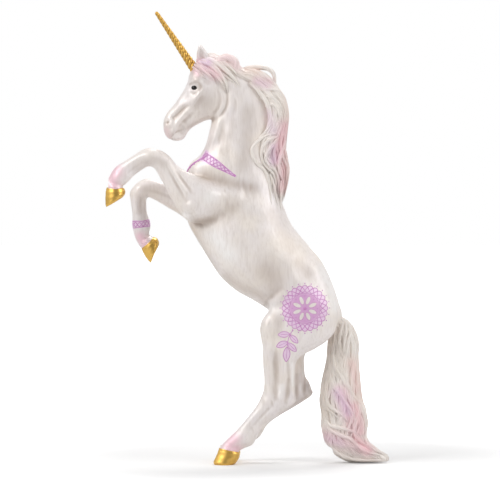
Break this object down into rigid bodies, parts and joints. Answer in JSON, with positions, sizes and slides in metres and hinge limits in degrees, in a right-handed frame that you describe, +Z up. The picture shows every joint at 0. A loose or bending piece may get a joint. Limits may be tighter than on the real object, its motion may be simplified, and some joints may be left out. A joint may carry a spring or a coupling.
{
  "type": "unicorn figurine",
  "caption": "Rearing unicorn figurine moulded in pearl white with a gold spiral horn and hooves, a streaming mane, and a long tail that it stands on with its hind hooves.",
  "frame": {"origin": "on the surface that the figure stands on, under the middle of its length and width", "axes": "+Z up, -X the way the unicorn faces, -Y its left side"},
  "size_m": [0.1091, 0.025, 0.1717],
  "materials": {
    "pearl_white": "moulded vinyl with a satin pearl paint, washed with brown in the folds and dusted pink at the pasterns",
    "gold": "metallic gold paint over moulded vinyl, darker in the grooves",
    "eye_black": "glossy black bead",
    "hair": "grooved like hair, pearl cream dusted with pink, lilac and peach",
    "pin_steel": "drawn wire"
  },
  "bodies": {
    "root": {"trunk": "pearl_white", "neck": "pearl_white", "head": "pearl_white", "left_eye": "eye_black", "right_eye": "eye_black", "horn": "gold", "forelock": "hair", "mane": "hair", "tail": "hair", "left_foreleg": "pearl_white", "right_foreleg": "pearl_white", "left_hind_leg": "pearl_white", "right_hind_leg": "pearl_white", "left_fore_hoof": "gold", "right_fore_hoof": "gold", "left_hind_hoof": "gold", "right_hind_hoof": "gold", "left_leg_pin": "pin_steel", "right_leg_pin": "pin_steel"}
  },
  "joints": []
}
